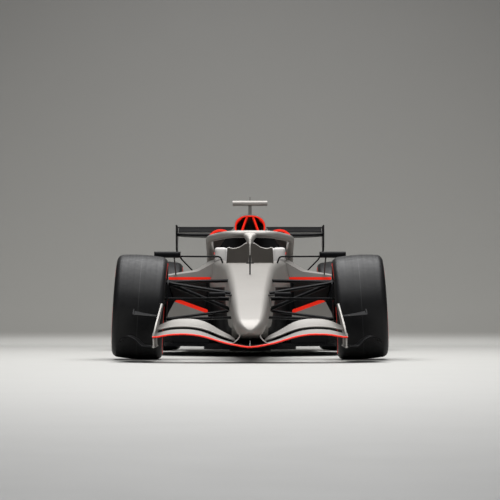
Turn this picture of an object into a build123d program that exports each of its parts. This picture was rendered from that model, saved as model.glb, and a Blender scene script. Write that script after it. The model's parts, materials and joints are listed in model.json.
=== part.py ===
"""Open wheel racing car: single seater with exposed wheels, wings, a halo and a tall air box.

Millimetres. +Z is up, the nose points along -Y and +X is the driver's left.
The origin is on the ground, under the middle of the car's bounding box.
Lengthwise places are given as distances behind the front axle.
"""
import math
import os

from build123d import *

# Driving dimensions of the whole car.
WHEELBASE = 3400.0
FRONT_OVERHANG = 1200.0
REAR_OVERHANG = 850.0
OVERALL_WIDTH = 1900.0

# Wheels and tyres, with the camber in degrees.
TYRE_RADIUS = 360.0
TREAD_CROWN = 1200.0
SHOULDER = 46.0
BEAD_INSET = 26.0
FRONT_SECTION = 350.0
REAR_SECTION = 395.0
FRONT_CAMBER = 3.5
REAR_CAMBER = 1.5
RIM_RADIUS = 231.0
RIM_WALL = 9.0
RIM_FLANGE = 12.0
RIM_FLANGE_WIDTH = 8.0
SPOKES = 10
SPOKE_INSET = 40.0
SPOKE_DISH = 28.0
SPOKE_THICKNESS = 22.0
HUB_RADIUS = 58.0
HUB_DEPTH = 70.0
HUB_LIP = 10.0
AXLE_RADIUS = 34.0
AXLE_CLEARANCE = 0.1
SEAT_GAP = 0.3
NUT_RADIUS = 36.0
NUT_LENGTH = 26.0
BRAKE_DRUM_RADIUS = 204.0

# Suspension and steering.
KINGPIN_INSET = 150.0
KINGPIN_TOP = 180.0
KINGPIN_FOOT = -78.0
KINGPIN_RADIUS = 9.0
EYE_RADIUS = 20.0
EYE_HEIGHT = 22.0
FORK_GAP = 6.0
FORK_THICKNESS = 12.0
STEER_ARM = 100.0
STEER_PIN_RADIUS = 7.0
STEER_PLATE = 48.0
STEER_EYE_DRIFT = 5.5
RACK_RADIUS = 14.0
RACK_HALF = 215.0
TRACK_ROD_RADIUS = 9.0

# Floor and plank.
FLOOR_TOP = 92.0
FLOOR_THICKNESS = 20.0
STEP_BOTTOM = 52.0
PLANK_BOTTOM = 42.0
PLANK_HALF = 150.0
FLOOR_HALF = 700.0
FLOOR_END = 2950.0
DIFFUSER_HALF = 515.0

# Bodywork.
NOSE_TIP = -1165.0
NOSE_TIP_LENGTH = 110.0
NOSE_TIP_HEIGHT = 208.0
NOSE_JOINT = -200.0
CELL_END = 1960.0
COVER_END = 3640.0
COVER_WALL = 20.0
COCKPIT_START = 930.0
COCKPIT_END = 1830.0
COCKPIT_HALF = 205.0
COCKPIT_FLOOR = 135.0
INLET_START = 1420.0
INLET_DEPTH = 420.0
SIDEPOD_END = 3060.0
INTAKE_LENGTH = 110.0
SCOOP_RADIUS = 104.0
SCOOP_WALL = 14.0
SCOOP_X = 222.0
SCOOP_HEIGHT = 838.0
HALO_RADIUS = 27.0

# Steering wheel and column.
COLUMN_RADIUS = 16.0
COLUMN_STUB = 11.0
COLUMN_RISE = 20.0
WHEEL_HALF_WIDTH = 120.0
WHEEL_HALF_HEIGHT = 72.0

# Gearbox, tail and drive.
GEARBOX_END = 3720.0
STARTER_RADIUS = 12.0
STARTER_DEPTH = 60.0
STARTER_HEIGHT = 308.0
SHAFT_RADIUS = 20.0
SHAFT_END = -648.0
JACK_PIN_RADIUS = 11.0
JACK_PIN_HALF = 90.0
JACK_COLLAR_RADIUS = 17.0
JACK_COLLAR_HALF = 56.0

# Wings.
FRONT_FOOT_HALF = 865.0
REAR_WING_HALF = 600.0
ENDPLATE = 10.0
FLAP_PIN_RADIUS = 5.0

LENGTH = FRONT_OVERHANG + WHEELBASE + REAR_OVERHANG
FRONT_AXLE_Y = FRONT_OVERHANG - LENGTH / 2
TAIL = WHEELBASE + REAR_OVERHANG
BEAD_RADIUS = RIM_RADIUS + SEAT_GAP
SIDEWALL_RADIUS = (TYRE_RADIUS + RIM_RADIUS) / 2
os.makedirs("parts", exist_ok=True)


def behind(distance):
    """The Y of a place that lies this far behind the front axle."""
    return FRONT_AXLE_Y + distance


def write(name, *shapes):
    """Writes the solids of one named piece."""
    solids = [solid for shape in shapes for solid in shape.solids()]
    export_step(solids[0] if len(solids) == 1 else Compound(children=solids), f"parts/{name}.step")


def other_side(shape):
    """The same piece on the driver's right."""
    return shape.mirror(Plane.YZ)


def largest(shape):
    """The main solid left after a cut."""
    return max(shape.solids(), key=lambda solid: solid.volume)


def section(distance, half, radii):
    """A closed section across the car, from its +X half, top first, with a radius at each corner."""
    y = behind(distance)
    points = [(x, y, z) for x, z in half] + [(-x, y, z) for x, z in reversed(half)]
    return Wire(FilletPolyline(*points, radius=[*radii, *reversed(radii)], close=True).edges())


def side_section(distance, corners, radii):
    """A closed section across the car that lies on the +X side only."""
    points = [(x, behind(distance), z) for x, z in corners]
    return Wire(FilletPolyline(*points, radius=radii, close=True).edges())


def block(half_width, start, end, bottom, top):
    """A plain box centred on the car's middle plane, from start to end behind the front axle."""
    return Box(2 * half_width, end - start, top - bottom).moved(
        Location((0, behind((start + end) / 2), (bottom + top) / 2))
    )


def side_plate(outline, radii, x_from, x_to):
    """A plate seen from the side: corners are (distance behind the front axle, height)."""
    points = [(x_from, behind(d), z) for d, z in outline]
    face = Face(Wire(FilletPolyline(*points, radius=radii, close=True).edges()))
    return extrude(face, amount=x_to - x_from, dir=(1, 0, 0))


def plan_plate(outline, radii, bottom, top):
    """A plate seen from above: corners are (x, distance behind the front axle)."""
    points = [(x, behind(d), bottom) for x, d in outline]
    face = Face(Wire(FilletPolyline(*points, radius=radii, close=True).edges()))
    return extrude(face, amount=top - bottom, dir=(0, 0, 1))


def strut(start, end, chord, thickness):
    """A streamlined strut between two points, its chord lying along the car."""
    start, end = Vector(*start), Vector(*end)
    plane = Plane(origin=start, x_dir=(0, 1, 0), z_dir=end - start)
    return extrude(plane * Ellipse(chord / 2, thickness / 2), amount=(end - start).length)


def rod(points, radii, radius):
    """A round bar along straight runs joined by bends."""
    path = Wire(FilletPolyline(*points, radius=radii).edges())
    start = Plane(origin=path @ 0, z_dir=path % 0)
    return sweep(start * Circle(radius), path=path)


def turned(profile):
    """A closed profile of (along the axle, radius) corners, turned about the X axis."""
    face = Face(Wire.make_polygon([(x, 0, r) for x, r in profile], close=True))
    return revolve(face, axis=Axis.X)


def post(radius, start, end, x=0.0, y=0.0):
    """A vertical cylinder from one height to another."""
    return Cylinder(radius, end - start).moved(Location((x, y, (start + end) / 2)))


def axle_bar(radius, start, end):
    """A cylinder along the X axis."""
    return Cylinder(radius, end - start).moved(Location(((start + end) / 2, 0, 0), (0, 90, 0)))


def aerofoil(x, distance, height, chord, rise, thickness, sag):
    """A wing section at one place across the span: leading edge place, chord, rise, thickness, hollow."""
    lead = Vector(x, behind(distance), height)
    tail = lead + Vector(0, chord, rise)
    along = (tail - lead).normalized()
    up = Vector(0, -along.Z, along.Y)
    nose_r, tail_r = thickness * 0.32, thickness * 0.1
    middle = (lead + tail) * 0.5 - up * sag
    edges = [
        Edge.make_three_point_arc(lead + up * nose_r, lead - along * nose_r, lead - up * nose_r),
        Edge.make_three_point_arc(lead - up * nose_r, middle - up * (thickness / 2), tail - up * tail_r),
        Edge.make_line(tail - up * tail_r, tail + up * tail_r),
        Edge.make_three_point_arc(tail + up * tail_r, middle + up * (thickness / 2), lead + up * nose_r),
    ]
    return Wire(edges)


def wing(stations):
    """A wing element through the stations of its +X half, the first of them at the middle."""
    left = [(-s[0], *s[1:]) for s in reversed(stations[1:])]
    return Solid.make_loft([aerofoil(*s) for s in [*left, *stations]])


# Wheel corners: everything is made upright about the wheel's middle, outboard along +X, then leaned in.
def wheel_centre(section_width, camber):
    """Where a wheel's middle sits so that the tread touches the ground and the sidewall the overall width."""
    lean = math.radians(camber)
    reach = section_width / 2 * math.cos(lean) + SIDEWALL_RADIUS * math.sin(lean)
    height = TREAD_CROWN - (TREAD_CROWN - TYRE_RADIUS) * math.cos(lean)
    return OVERALL_WIDTH / 2 - reach, height


def corner_place(distance, section_width, camber):
    """The place and lean of a wheel corner on the driver's left."""
    x, z = wheel_centre(section_width, camber)
    return Location((x, behind(distance), z), (0, -camber, 0))


def tyre(section_width):
    """A slick tyre: crowned tread, round shoulders and bulged sidewalls down to the bead."""
    half = section_width / 2
    bead_x, tread_x = half - BEAD_INSET, half - SHOULDER
    flange_top = RIM_RADIUS + RIM_FLANGE
    bulge = (BEAD_INSET**2 + (SIDEWALL_RADIUS - flange_top) ** 2) / (2 * BEAD_INSET)
    crown = TYRE_RADIUS - TREAD_CROWN + math.sqrt(TREAD_CROWN**2 - tread_x**2)
    shoulder_z = crown - SHOULDER
    shoulder_x = half - bulge + math.sqrt(bulge**2 - (shoulder_z - SIDEWALL_RADIUS) ** 2)
    corner = SHOULDER * (1 - math.sqrt(0.5))

    def flank(side):
        """The edges of one sidewall and its shoulder."""
        foot, flange, wall, low, turn, edge = [
            (side * x, 0, r)
            for x, r in [
                (bead_x, BEAD_RADIUS), (bead_x, flange_top), (half, SIDEWALL_RADIUS),
                (shoulder_x, shoulder_z), (half - corner, crown - corner), (tread_x, crown),
            ]
        ]
        return [
            Edge.make_line(foot, flange),
            Edge.make_three_point_arc(flange, wall, low),
            Edge.make_three_point_arc(low, turn, edge),
        ]

    seat = Edge.make_line((-bead_x, 0, BEAD_RADIUS), (bead_x, 0, BEAD_RADIUS))
    tread = Edge.make_three_point_arc((-tread_x, 0, crown), (0, 0, TYRE_RADIUS), (tread_x, 0, crown))
    return revolve(Face(Wire([seat, *flank(1), tread, *flank(-1)])), axis=Axis.X)


def rim_face(section_width):
    """How far outboard of the wheel's middle the spoke face lies."""
    return section_width / 2 - BEAD_INSET - SPOKE_INSET


def rim(section_width):
    """A spoked rim with its hub and centre nut."""
    seat = section_width / 2 - BEAD_INSET + SEAT_GAP
    edge = seat + RIM_FLANGE_WIDTH
    inner = RIM_RADIUS - RIM_WALL
    flange = RIM_RADIUS + RIM_FLANGE
    face = rim_face(section_width)
    barrel = turned(
        [
            (-edge, inner), (edge, inner), (edge, flange), (seat, flange), (seat, RIM_RADIUS),
            (-seat, RIM_RADIUS), (-seat, flange), (-edge, flange),
        ]
    )
    dish = turned(
        [
            (face - SPOKE_THICKNESS, HUB_RADIUS - 8), (face, HUB_RADIUS - 8),
            (face + SPOKE_DISH, inner + 3), (face + SPOKE_DISH - 20, inner + 3),
        ]
    )
    pitch = 2 * math.pi / SPOKES
    window_in, window_out = HUB_RADIUS + 22, inner - 12
    corners = [
        (0, r * math.sin(a), r * math.cos(a))
        for r, a in [
            (window_in, -0.22 * pitch), (window_out, -0.36 * pitch), (window_out, 0.36 * pitch),
            (window_in, 0.22 * pitch),
        ]
    ]
    outline = Wire(FilletPolyline(*corners, radius=[8, 16, 16, 8], close=True).edges())
    window = extrude(Face(outline), amount=edge, dir=(1, 0, 0))
    for spoke in range(SPOKES):
        dish -= window.rotate(Axis.X, 360 * spoke / SPOKES)
    hub = axle_bar(HUB_RADIUS, face - HUB_DEPTH, face + HUB_LIP)
    bore = axle_bar(AXLE_RADIUS + AXLE_CLEARANCE, face - HUB_DEPTH - 10, face - 10)
    nut = extrude(
        Plane(origin=(face + HUB_LIP, 0, 0), z_dir=(1, 0, 0)) * RegularPolygon(NUT_RADIUS, 6),
        amount=NUT_LENGTH,
    )
    return barrel + dish + hub + nut - bore


def eye(height, bore_radius):
    """A ring about the kingpin, in the corner's own frame."""
    ring = post(EYE_RADIUS, height - EYE_HEIGHT / 2, height + EYE_HEIGHT / 2, x=-KINGPIN_INSET)
    return ring - post(bore_radius, height - EYE_HEIGHT, height + EYE_HEIGHT, x=-KINGPIN_INSET)


def drum_face():
    """The inboard face of the brake drum, clear of the wishbone eyes."""
    return -KINGPIN_INSET + EYE_RADIUS + 10


def upright(section_width):
    """A knuckle: brake drum with a fork and pin for each wishbone eye."""
    end = rim_face(section_width) - HUB_DEPTH - 6
    body = turned(
        [
            (drum_face(), 0), (end, 0), (end, BRAKE_DRUM_RADIUS - 30), (end - 30, BRAKE_DRUM_RADIUS),
            (drum_face() + 12, BRAKE_DRUM_RADIUS), (drum_face(), BRAKE_DRUM_RADIUS - 12),
        ]
    )
    for height in (KINGPIN_TOP, KINGPIN_FOOT):
        for side in (-1, 1):
            low = height + side * (EYE_HEIGHT / 2 + FORK_GAP + FORK_THICKNESS / 2) - FORK_THICKNESS / 2
            ear = post(EYE_RADIUS, low, low + FORK_THICKNESS, x=-KINGPIN_INSET)
            web = Box(drum_face() + 8 + KINGPIN_INSET, 2 * EYE_RADIUS, FORK_THICKNESS).moved(
                Location(((drum_face() + 8 - KINGPIN_INSET) / 2, 0, low + FORK_THICKNESS / 2))
            )
            body = body + ear + web
        reach = EYE_HEIGHT / 2 + FORK_GAP + FORK_THICKNESS
        body = body + post(KINGPIN_RADIUS, height - reach, height + reach, x=-KINGPIN_INSET)
    return body



def front_upright():
    """The front knuckle with its stub axle, steering arm, brake duct scoop and fence."""
    axle = axle_bar(AXLE_RADIUS, drum_face(), rim_face(FRONT_SECTION) - 11)
    arm_length = drum_face() + 8 + KINGPIN_INSET + 16
    arm = Box(arm_length, 36, 12).moved(
        Location((drum_face() + 8 - arm_length / 2, -STEER_ARM, STEER_PLATE))
    )
    pin = post(STEER_PIN_RADIUS, STEER_PLATE, STEER_PLATE + 30, x=-KINGPIN_INSET, y=-STEER_ARM)
    scoop = Box(74, 56, 100).moved(Location((drum_face() + 4 - 37, -165, -20)))
    scoop -= Box(54, 60, 80).moved(Location((drum_face() - 3 - 37, -175, -20)))
    fence_x = -FRONT_SECTION / 2 - 16
    fence_corners = [(-250, -95), (-240, 170), (-165, 215), (-134, 130), (-134, -120), (-200, -130)]
    fence = extrude(
        Face(
            Wire(FilletPolyline(*[(fence_x, y, z) for y, z in fence_corners], radius=18, close=True).edges())
        ),
        amount=6,
        dir=(1, 0, 0),
    )
    return upright(FRONT_SECTION) + axle + arm + pin + scoop + fence


FRONT_PLACE = corner_place(0, FRONT_SECTION, FRONT_CAMBER)
REAR_PLACE = corner_place(WHEELBASE, REAR_SECTION, REAR_CAMBER)


def at_corner(place, x, y, z):
    """A point of a wheel corner's own frame, in the car's frame."""
    return (place * Location((x, y, z))).position


def wishbone(place, height, chord, thickness, inboard):
    """A wishbone: an eye on the kingpin and a streamlined leg to each inboard point."""
    outer = at_corner(place, -KINGPIN_INSET, 0, height)
    body = Cylinder(EYE_RADIUS, EYE_HEIGHT).moved(place * Location((-KINGPIN_INSET, 0, height)))
    for x, distance, z in inboard:
        body += strut(outer, (x, behind(distance), z), chord, thickness)
    bore = Cylinder(KINGPIN_RADIUS + AXLE_CLEARANCE, 3 * EYE_HEIGHT)
    return body - bore.moved(place * Location((-KINGPIN_INSET, 0, height)))


# Survival cell and nose: one smooth skin, cut at the nose joint.
# Columns: distance, then half width and height of the top, the middle and the foot, and the corner radius.
CELL_SECTIONS = [
    (NOSE_TIP, 66, 258, 84, 216, 60, 172, 30),
    (-900, 94, 330, 114, 254, 80, 178, 42),
    (-500, 118, 426, 132, 312, 98, 204, 50),
    (-100, 136, 514, 148, 384, 114, 232, 54),
    (300, 154, 588, 168, 446, 134, 226, 56),
    (800, 178, 664, 204, 486, 174, 160, 56),
    (1150, 238, 694, 274, 520, 238, FLOOR_TOP, 50),
    (1500, 270, 702, 302, 524, 268, FLOOR_TOP, 50),
    (CELL_END, 292, 722, 312, 560, 284, FLOOR_TOP, 50),
]
# Columns: distance, crest half width, crest height, shoulder half width, shoulder height, hip half width,
# hip height, foot half width.
COVER_SECTIONS = [
    (CELL_END, 66, 1050, 128, 950, 306, 700, 312),
    (2300, 58, 1022, 118, 900, 300, 640, 306),
    (2800, 44, 930, 96, 800, 236, 540, 250),
    (3250, 36, 790, 84, 680, 150, 500, 160),
    (COVER_END, 30, 650, 80, 580, 104, 480, 104),
]
COVER_RADII = [24, 40, 60, 10]
# Columns: distance, then x and height of the flank, the dip, the edge and the underside, and x of the foot.
SIDEPOD_SECTIONS = [
    (INLET_START, 262, 686, 384, 618, 650, 582, 640, 320, 470),
    (1800, 292, 706, 410, 632, 696, 586, 684, 320, 500),
    (2300, 270, 660, 392, 600, 690, 520, 680, 280, 540),
    (2750, 200, 580, 300, 500, 560, 400, 560, 220, 470),
    (SIDEPOD_END, 130, 500, 190, 420, 330, 320, 330, 200, 280),
]


def slope_between(rows, index, column):
    """The slope of one column of a table at a row, flattened at a turning point."""
    if index in (0, len(rows) - 1):
        near = 0 if index == 0 else len(rows) - 2
        return (rows[near + 1][column] - rows[near][column]) / (rows[near + 1][0] - rows[near][0])
    left = (rows[index][column] - rows[index - 1][column]) / (rows[index][0] - rows[index - 1][0])
    right = (rows[index + 1][column] - rows[index][column]) / (rows[index + 1][0] - rows[index][0])
    return 0.0 if left * right <= 0 else 2 * left * right / (left + right)


def row_at(rows, distance):
    """A row of a table read at any distance, on a smooth curve through its rows."""
    index = max(i for i in range(len(rows) - 1) if rows[i][0] <= distance or i == 0)
    span = rows[index + 1][0] - rows[index][0]
    t = (distance - rows[index][0]) / span
    row = []
    for column in range(1, len(rows[0])):
        start, end = rows[index][column], rows[index + 1][column]
        leave = slope_between(rows, index, column) * span
        arrive = slope_between(rows, index + 1, column) * span
        row.append(
            (2 * t**3 - 3 * t**2 + 1) * start + (t**3 - 2 * t**2 + t) * leave
            + (3 * t**2 - 2 * t**3) * end + (t**3 - t**2) * arrive
        )
    return row


def even_rows(rows, start, end, count):
    """Rows of a table at even steps, so that the skin through them stays fair."""
    steps = [start + (end - start) * i / (count - 1) for i in range(count)]
    return [(d, *row_at(rows, d)) for d in steps]


def cell_section(distance, row, scale=1.0):
    """One section of the nose and cell, shrunk about the height of the nose's tip where asked."""
    tx, tz, mx, mz, fx, fz, r = row
    drop = NOSE_TIP_HEIGHT * (1 - scale)
    half = [(x * scale, z * scale + drop) for x, z in ((tx, tz), (mx, mz), (fx, fz))]
    return section(distance, half, [r * scale, 1.6 * r * scale, 0.8 * r * scale])


def cell_outer(start, end, count):
    """The outside of the nose and survival cell between two distances."""
    rows = even_rows(CELL_SECTIONS, start, end, count)
    return Solid.make_loft([cell_section(distance, row) for distance, *row in rows])


def nose_tip():
    """The rounded end of the nose: its sections shrunk along a quarter of an ellipse."""
    wires = []
    for part in (0.0, 0.25, 0.48, 0.68, 0.83, 0.93, 0.985):
        distance = NOSE_TIP + NOSE_TIP_LENGTH * (1 - part)
        wires.append(cell_section(distance, row_at(CELL_SECTIONS, distance), math.sqrt(1 - part**2)))
    return Solid.make_loft(wires)


def cover_section(distance, row, inset, foot):
    """One section of the engine cover, inset by the wall where asked."""
    cx, cz, sx, sz, hx, hz, fx = row
    half = [
        (cx - 0.4 * inset, cz - inset), (sx - inset, sz - 0.6 * inset), (hx - inset, hz - 0.6 * inset),
        (fx - inset, foot),
    ]
    return section(distance, half, COVER_RADII)


def cover_outer(inset=0.0, foot=FLOOR_TOP):
    """The outside of the engine cover, or its inside when inset by the wall."""
    (start, *front), *rest = even_rows(COVER_SECTIONS, CELL_END, COVER_END, 6)
    wires = [cover_section(start + inset, front, inset, foot)]
    wires += [cover_section(distance, row, inset, foot) for distance, *row in rest]
    return Solid.make_loft(wires)


def sidepod_outer():
    """The outside of the sidepod on the driver's left, running into the car's middle."""
    core = 60.0
    radii = [0, 40, 90, 24, 120, 20, 0]
    wires = []
    rows = even_rows(SIDEPOD_SECTIONS, INLET_START, SIDEPOD_END, 6)
    for d, kx, kz, px, pz, ex, ez, ux, uz, fx in rows:
        corners = [(core, kz), (kx, kz), (px, pz), (ex, ez), (ux, uz), (fx, FLOOR_TOP), (core, FLOOR_TOP)]
        wires.append(side_section(d, corners, radii))
    return Solid.make_loft(wires)


def floor_panel():
    """The flat floor with its stepped middle."""
    half = [
        (220, 850), (330, 1010), (FLOOR_HALF - 90, 1200), (FLOOR_HALF, 1420), (FLOOR_HALF, 2640),
        (DIFFUSER_HALF, 2900), (DIFFUSER_HALF, FLOOR_END),
    ]
    outline = half + [(-x, d) for x, d in reversed(half)]
    radii = [60, 60, 90, 120, 200, 60, 0]
    plate = plan_plate(outline, radii + radii[::-1], FLOOR_TOP - FLOOR_THICKNESS, FLOOR_TOP)
    step = [(190, 850), (335, 1060), (335, FLOOR_END)]
    step_outline = step + [(-x, d) for x, d in reversed(step)]
    step_plate = plan_plate(step_outline, [60, 90, 0, 0, 90, 60], STEP_BOTTOM, FLOOR_TOP - FLOOR_THICKNESS)
    return plate + step_plate


cover_skin = cover_outer()
floor = floor_panel()
write("floor", floor)
plank_half = [(PLANK_HALF, 900), (PLANK_HALF, FLOOR_END)]
plank_outline = plank_half + [(-x, d) for x, d in reversed(plank_half)]
write("plank", plan_plate(plank_outline, [40, 0, 0, 40], PLANK_BOTTOM, STEP_BOTTOM))

nose = cell_outer(NOSE_TIP + NOSE_TIP_LENGTH, NOSE_JOINT, 9) + nose_tip()
cell_solid = largest(cell_outer(NOSE_JOINT, CELL_END, 16) - floor)


def cockpit_space():
    """The driver's space and the tunnel for the legs."""
    well_rows = [
        (COCKPIT_START, 146, 120), (1200, COCKPIT_HALF - 14, 170), (COCKPIT_END, COCKPIT_HALF + 8, 190)
    ]
    leg_rows = [(150, 96, 480, 290), (COCKPIT_START + 20, 126, 505, 190)]
    well = [section(d, [(top, 860), (foot, COCKPIT_FLOOR)], [0, 60]) for d, top, foot in well_rows]
    legs = [section(d, [(x, top), (x, foot)], [30, 30]) for d, x, top, foot in leg_rows]
    return Solid.make_loft(well), Solid.make_loft(legs)


well, legs = cockpit_space()
pin_place = at_corner(FRONT_PLACE, -KINGPIN_INSET, -STEER_ARM, STEER_PLATE + 18)
rack_place = Location((0, behind(-STEER_ARM), pin_place.Z))
rack_bore = axle_bar(RACK_RADIUS + SEAT_GAP, -400, 400).moved(rack_place)
cell = cell_solid - well - legs - rack_bore
write("nose_cone", nose)
write("survival_cell", largest(cell))


# Engine cover, air intake and cooling scoops.
tail_slant = side_plate(
    [(2780, -50), (3200, 440), (3640, 476), (3900, 476), (3900, -50)], [0, 120, 0, 0, 0], -900, 900
)
cover_room = cover_outer(inset=COVER_WALL, foot=FLOOR_TOP - 60)
cover_solid = largest(cover_skin - tail_slant - floor)
intake_hole = Solid.make_loft(
    [
        section(CELL_END - INTAKE_LENGTH - 30, [(44, 1037), (110, 1000), (102, 904)], [100, 66, 24]),
        section(CELL_END + 60, [(40, 1022), (92, 946), (92, 906)], [20, 30, 20]),
    ]
)
fin_outline = [(2420, 900), (2500, 1000), (3560, 900), (3600, 840), (3560, 600), (2420, 800)]
fin = largest(side_plate(fin_outline, [0, 40, 60, 20, 0, 0], -6, 6) - cover_skin)
engine_cover = largest(cover_solid - cover_room - intake_hole) + fin

intake_outer = Solid.make_loft(
    [
        section(CELL_END - INTAKE_LENGTH, [(48, 1049), (122, 1006), (114, 890)], [116, 76, 28]),
        section(CELL_END, [(64, 1049), (125, 956), (116, 886)], [30, 50, 28]),
    ]
)
airbox_inlet = largest(intake_outer - intake_hole)
strut_y = behind(CELL_END - INTAKE_LENGTH + 18)
for side in (-1, 1):
    airbox_inlet += strut((side * 20, strut_y, 1040), (side * 72, strut_y, 894), 34, 19) & intake_outer
write("airbox_inlet", airbox_inlet)


def cross_circle(distance, x, z, radius):
    """A circle across the car, for a round duct."""
    return Wire.make_circle(radius, Plane(origin=(x, behind(distance), z), z_dir=(0, 1, 0)))


scoop_mouth = cross_circle(CELL_END, SCOOP_X, SCOOP_HEIGHT, SCOOP_RADIUS)
scoop_hull = Solid.make_loft(
    [scoop_mouth, cross_circle(2280, 196, 826, 80), cross_circle(2600, 150, 786, 24)]
)
scoop_hole = Solid.make_loft(
    [
        cross_circle(CELL_END - 60, SCOOP_X, SCOOP_HEIGHT, SCOOP_RADIUS - SCOOP_WALL),
        cross_circle(2140, 208, 832, SCOOP_RADIUS - 2 * SCOOP_WALL),
    ]
)
cover_front = cover_section(CELL_END, COVER_SECTIONS[0][1:], 0.0, FLOOR_TOP)
ahead_of_cover = extrude(Face(cover_front), amount=80, dir=(0, -1, 0))
scoop = largest(scoop_hull - cover_skin - scoop_hole)
scoop_lip = Solid.make_loft(
    [cross_circle(CELL_END - 24, SCOOP_X, SCOOP_HEIGHT, SCOOP_RADIUS - 2), scoop_mouth]
)
scoop_lip = largest(scoop_lip - scoop_hole - ahead_of_cover)
write("cooling_scoops", scoop, other_side(scoop))
write("scoop_lips", scoop_lip, other_side(scoop_lip))

# Sidepods with their inlets and radiators.
pod_solid = largest(sidepod_outer() - cell_solid - cover_solid - floor - block(300, 0, 4000, -100, FLOOR_TOP))
inlet_mouth = [(318, 552), (612, 552), (570, 412), (330, 336)]
inlet_radii = [18, 24, 30, 24]
inlet_face = Face(side_section(INLET_START - 20, inlet_mouth, inlet_radii))
inlet = extrude(inlet_face, amount=INLET_DEPTH + 20, dir=(0, 1, 0))
radiator_face = Face(side_section(INLET_START + INLET_DEPTH - 50, inlet_mouth, inlet_radii))
radiator = extrude(radiator_face, amount=50, dir=(0, 1, 0))
write("radiators", radiator, other_side(radiator))

# Engine, gearbox and tail.
engine = block(205, 2120, 2770, FLOOR_TOP, 520)
write("engine_block", engine)
gearbox_rows = [
    (2770, 190, 470, 120), (3080, 130, 450, 190), (3400, 105, 440, 270), (GEARBOX_END, 84, 430, 282)
]
gearbox_solid = Solid.make_loft(
    [section(d, [(x, top), (x, foot)], [28, 28]) for d, x, top, foot in gearbox_rows]
)
starter_bore = Cylinder(STARTER_RADIUS, 2 * STARTER_DEPTH).moved(
    Location((0, behind(GEARBOX_END), STARTER_HEIGHT), (90, 0, 0))
)
output_bore = axle_bar(SHAFT_RADIUS + 9, SHAFT_END - 20, SHAFT_END + 120).moved(REAR_PLACE)
gearbox = gearbox_solid - starter_bore - output_bore - other_side(output_bore)
write("gearbox_casing", largest(gearbox))
crash = Solid.make_loft(
    [
        section(d, [(x, top), (x, foot)], [20, 20])
        for d, x, top, foot in [(GEARBOX_END, 70, 428, 336), (3960, 58, 414, 338), (4232, 46, 396, 340)]
    ]
)
jack_pin = axle_bar(JACK_PIN_RADIUS, -JACK_PIN_HALF, JACK_PIN_HALF)
jack_pin += axle_bar(JACK_COLLAR_RADIUS, -JACK_COLLAR_HALF, JACK_COLLAR_HALF)
crash = crash + jack_pin.moved(Location((0, behind(4150), 368)))
write("rear_crash_structure", crash)
write("rear_light", block(36, 4232, TAIL, 346, 390))
exhaust = Solid.make_loft(
    [cross_circle(d, 0, z, r) for d, z, r in [(3330, 540, 52), (3560, 534, 58), (3790, 528, 62)]]
)
exhaust -= Solid.make_loft(
    [cross_circle(d, 0, z, r) for d, z, r in [(3400, 538, 46), (3600, 533, 52), (3800, 528, 57)]]
)
hanger = side_plate([(3440, 430), (3500, 430), (3500, 560), (3440, 560)], [0, 0, 0, 0], -20, 20)
pipe_room = Cylinder(50, 300).moved(Location((0, behind(3470), 536), (90, 0, 0)))
hanger = largest(hanger - exhaust - gearbox - pipe_room)
write("exhaust_pipe", largest(exhaust))
write("exhaust_hanger", hanger)

# Diffuser behind the floor.
ramp = [(FLOOR_END, FLOOR_TOP - FLOOR_THICKNESS), (3300, 150), (3760, 262)]
ramp_outline = ramp + [(d, z + 16) for d, z in reversed(ramp)]
diffuser = side_plate(ramp_outline, [0, 200, 0, 0, 200, 0], -DIFFUSER_HALF, DIFFUSER_HALF)
for x in (-510, -380, -240, -110, 110, 240, 380, 510):
    low = PLANK_BOTTOM + 10 if abs(x) < 400 else PLANK_BOTTOM + 20
    start = FLOOR_END + 1
    blade = [(start, 80), (start, low), (3200, low), (3760, 150), (3760, 270), (3300, 158)]
    diffuser += side_plate(blade, [0, 0, 120, 0, 0, 200], x - 5, x + 5)
write("diffuser", diffuser)

# Halo, cockpit trim and seat.
HALO_PATH = [(296, 1892, 690), (299, 1850, 776), (299, 1330, 860), (150, 1112, 888)]
halo_points = [(x, behind(d), z) for x, d, z in HALO_PATH]
halo_points += [(-x, y, z) for x, y, z in reversed(halo_points)]
halo = rod(halo_points, [50, 220, 150, 150, 220, 50], HALO_RADIUS)


def pillar_ring(distance, z, width, chord):
    """An ellipse across the halo's centre pillar."""
    plane = Plane(origin=(0, behind(distance), z), x_dir=(1, 0, 0), z_dir=(0, 0.62, 0.78))
    return Wire.make_ellipse(width / 2, chord / 2, plane)


pillar_rows = [
    (892, 640, 36, 90), (970, 736, 26, 80), (1036, 812, 36, 72), (1078, 858, 74, 60), (1108, 888, 150, 40)
]
halo += Solid.make_loft([pillar_ring(*row) for row in pillar_rows])
halo = largest(halo - cell_solid - cover_solid)
write("halo", halo)

headrest = block(262, 1430, 1845, 680, 796) - block(172, 1400, 1752, 600, 900)
headrest = fillet(headrest.edges().filter_by(Axis.Z), 26)
headrest = fillet(headrest.faces().sort_by(Axis.Z)[-1].edges(), 18)
headrest = largest(headrest - cell)
write("headrest", headrest)

seat_foot = COCKPIT_FLOOR - 20
seat_outline = [(1200, seat_foot), (1230, 200), (1470, 190), (1760, 640), (1860, 640), (1860, seat_foot)]
seat = largest(side_plate(seat_outline, [0, 30, 120, 30, 0, 0], -240, 240) & well)
write("seat", seat)

screen_half = [(30, 816), (74, 786), (122, 774), (164, 788), (172, 640)]
windscreen = extrude(Face(section(914, screen_half, [10, 60, 80, 10, 0])), amount=12, dir=(0, 1, 0))
windscreen = largest(windscreen - cell_solid - halo)
write("windscreen", windscreen)

sidepod = largest(pod_solid - inlet - gearbox_solid - diffuser - halo - headrest)
write("sidepods", sidepod, other_side(sidepod))

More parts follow.
